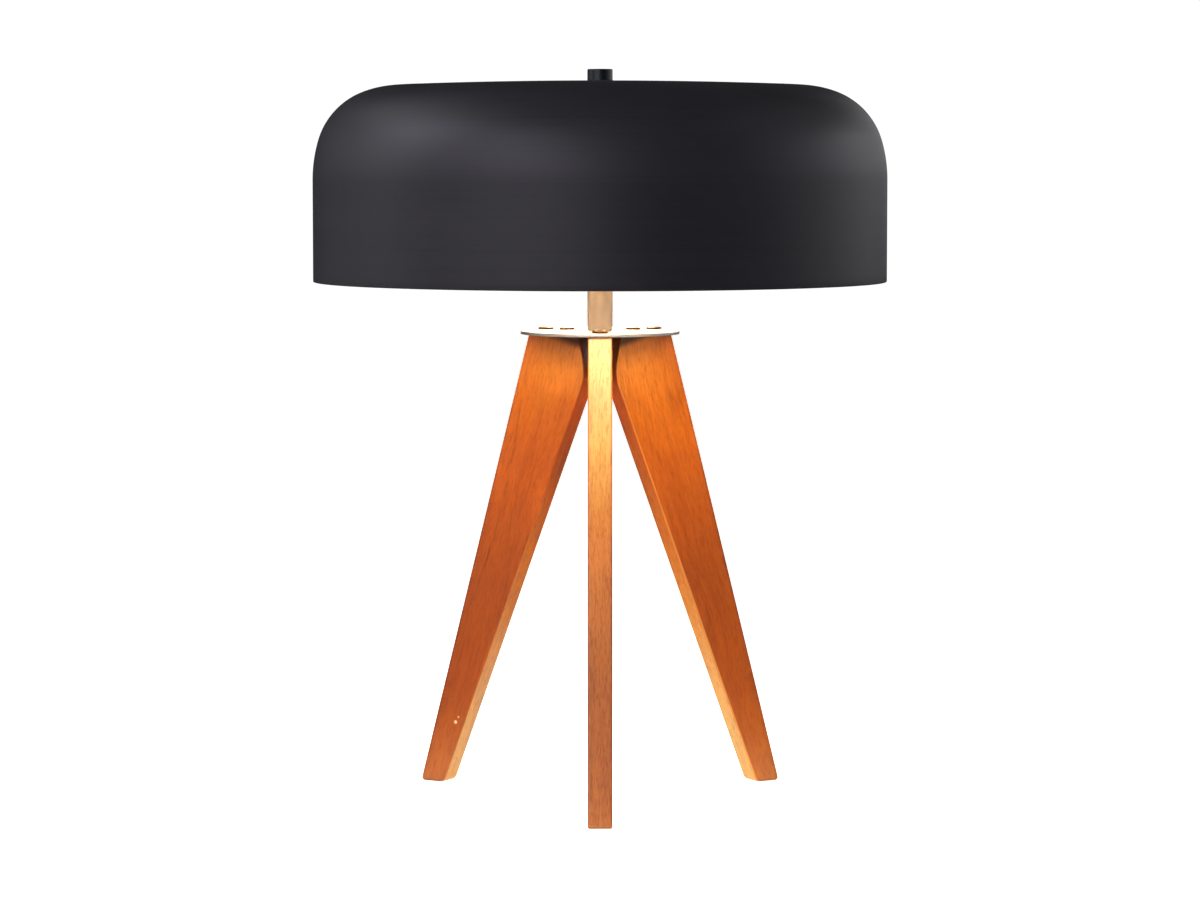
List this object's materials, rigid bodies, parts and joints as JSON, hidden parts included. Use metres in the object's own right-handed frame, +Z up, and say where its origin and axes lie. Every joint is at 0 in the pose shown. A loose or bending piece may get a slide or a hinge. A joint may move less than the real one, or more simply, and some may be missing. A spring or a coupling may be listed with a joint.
{
  "type": "table lamp",
  "caption": "Tripod table lamp: a wide, low drum shade with a rounded shoulder on a short stem, with splayed board legs screwed to a round plate.",
  "frame": {"origin": "on the lamp's upright axis at the height of the surface its feet stand on", "axes": "+Z up along the stem, -Y towards the front leg, +X to the right seen from the front"},
  "size_m": [0.4319, 0.432, 0.5506],
  "materials": {
    "stained_wood": "orange-brown stain under a satin lacquer",
    "plate_nickel": "satin nickel",
    "screw_nickel": "bright nickel",
    "stem_nickel": "satin nickel",
    "pipe_zinc": "zinc plated",
    "nut_zinc": "zinc plated",
    "bushing_plastic": "black moulded",
    "cluster_nickel": "satin nickel",
    "small_screw": "zinc plated",
    "spacer_nickel": "satin nickel",
    "washer_fibre": "grey fibre",
    "shade_black": "matte black powder coat outside, white inside",
    "finial_black": "satin black",
    "holder_nickel": "nickel plated",
    "liner_fibre": "brown card",
    "holder_core": "black moulded",
    "contact_brass": "plain brass",
    "knob_plastic": "black moulded",
    "splice_plastic": "ivory moulded",
    "lead_insulation": "ivory insulation",
    "opal_glass": "opal white",
    "bulb_cap_metal": "plain",
    "bulb_insulator": "black glass",
    "bulb_solder": "solder",
    "clear_glass": "clear",
    "filament_wire": "bare wire"
  },
  "bodies": {
    "stand": {"cap_nuts": "nut_zinc", "cap_screws": "small_screw", "centre_contact_back": "contact_brass", "centre_contact_front": "contact_brass", "cluster_body": "cluster_nickel", "cluster_cap": "cluster_nickel", "cluster_nut": "nut_zinc", "cord_bushing": "bushing_plastic", "holder_body_back": "holder_core", "holder_body_front": "holder_core", "holder_cap_back": "holder_nickel", "holder_cap_front": "holder_nickel", "holder_liner_back": "liner_fibre", "holder_liner_front": "liner_fibre", "holder_nipples": "pipe_zinc", "holder_shell_back": "holder_nickel", "holder_shell_front": "holder_nickel", "lamp_pipe": "pipe_zinc", "leads_back": "lead_insulation", "leads_front": "lead_insulation", "leg_front": "stained_wood", "leg_left": "stained_wood", "leg_right": "stained_wood", "leg_screws": "screw_nickel", "lock_washer": "nut_zinc", "nipple_nuts": "nut_zinc", "pipe_nut": "nut_zinc", "screw_shell_back": "contact_brass", "screw_shell_front": "contact_brass", "shade_seat": "spacer_nickel", "spacer_tube": "spacer_nickel", "splices": "splice_plastic", "stem_tube": "stem_nickel", "terminal_screws_back": "small_screw", "terminal_screws_front": "small_screw", "top_plate": "plate_nickel", "upper_pipe": "pipe_zinc"},
    "seat": {"seat_washer": "washer_fibre"},
    "shade": {"shade": "shade_black", "finial_washer": "washer_fibre"},
    "finial": {"finial": "finial_black"},
    "knob_front": {"switch_knob_front": "knob_plastic"},
    "knob_back": {"switch_knob_back": "knob_plastic"},
    "bulb_front": {"bulb_glass_front": "opal_glass", "bulb_cap_front": "bulb_cap_metal", "bulb_insulator_front": "bulb_insulator", "bulb_contact_front": "bulb_solder", "bulb_stem_front": "clear_glass", "filament_front": "filament_wire"},
    "bulb_back": {"bulb_glass_back": "opal_glass", "bulb_cap_back": "bulb_cap_metal", "bulb_insulator_back": "bulb_insulator", "bulb_contact_back": "bulb_solder", "bulb_stem_back": "clear_glass", "filament_back": "filament_wire"}
  },
  "joints": [
    {"name": "shade_turn", "type": "hinge", "parent": "stand", "child": "seat", "pos_m": [0, 0, 0.5394], "axis": [0, 0, 1], "continuous": true},
    {"name": "shade_lift", "type": "slide", "parent": "seat", "child": "shade", "axis": [0, 0, 1], "range_m": [0, 0.18]},
    {"name": "finial_turn", "type": "hinge", "parent": "shade", "child": "finial", "pos_m": [0, 0, 0.5422], "axis": [0, 0, 1], "continuous": true},
    {"name": "knob_turn_front", "type": "hinge", "parent": "stand", "child": "knob_front", "pos_m": [0, -0.05, 0.44], "axis": [0, 0, -1], "continuous": true},
    {"name": "knob_turn_back", "type": "hinge", "parent": "stand", "child": "knob_back", "pos_m": [0, 0.05, 0.44], "axis": [0, 0, -1], "continuous": true},
    {"name": "bulb_turn_front", "type": "hinge", "parent": "stand", "child": "bulb_front", "pos_m": [0, -0.075, 0.461], "axis": [0, -1, 0], "continuous": true},
    {"name": "bulb_turn_back", "type": "hinge", "parent": "stand", "child": "bulb_back", "pos_m": [0, 0.075, 0.461], "axis": [0, 1, 0], "continuous": true}
  ]
}
